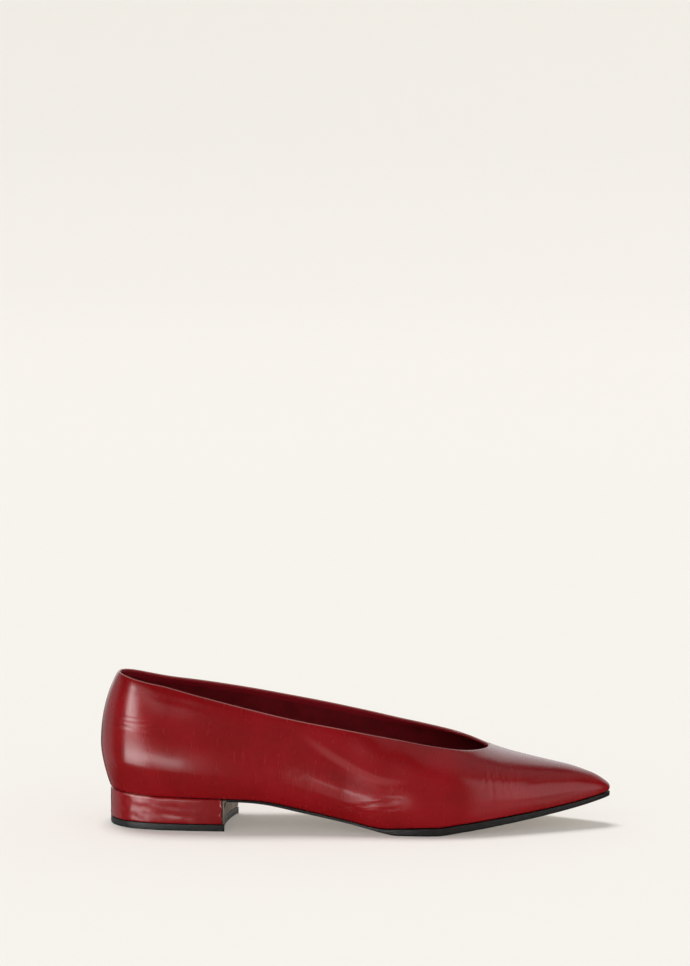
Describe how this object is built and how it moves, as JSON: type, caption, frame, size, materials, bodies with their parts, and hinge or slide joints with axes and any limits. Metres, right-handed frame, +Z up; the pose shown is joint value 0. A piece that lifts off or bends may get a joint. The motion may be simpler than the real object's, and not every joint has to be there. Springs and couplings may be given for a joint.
{
  "type": "ballet flat",
  "caption": "Women's pointed slip-on flat for the right foot, in smooth red leather, with a V-shaped throat, a low covered block heel and a thin leather sole.",
  "frame": {"origin": "on the floor, under the middle of the shoe's length and width", "axes": "+X to the toe, +Y to the inner side of the foot, +Z up from the floor"},
  "size_m": [0.26, 0.078, 0.078],
  "materials": {
    "upper_leather": "smooth polished calf leather, deep red",
    "sock_leather": "matt lining leather, dark red",
    "sole_leather": "leather sole with a black painted edge",
    "heel_cover": "the upper's leather stretched over a hard block",
    "lift_rubber": "matt black rubber"
  },
  "bodies": {
    "root": {"upper": "upper_leather", "insole": "sock_leather", "outsole": "sole_leather", "heel": "heel_cover", "top_lift": "lift_rubber"}
  },
  "joints": []
}
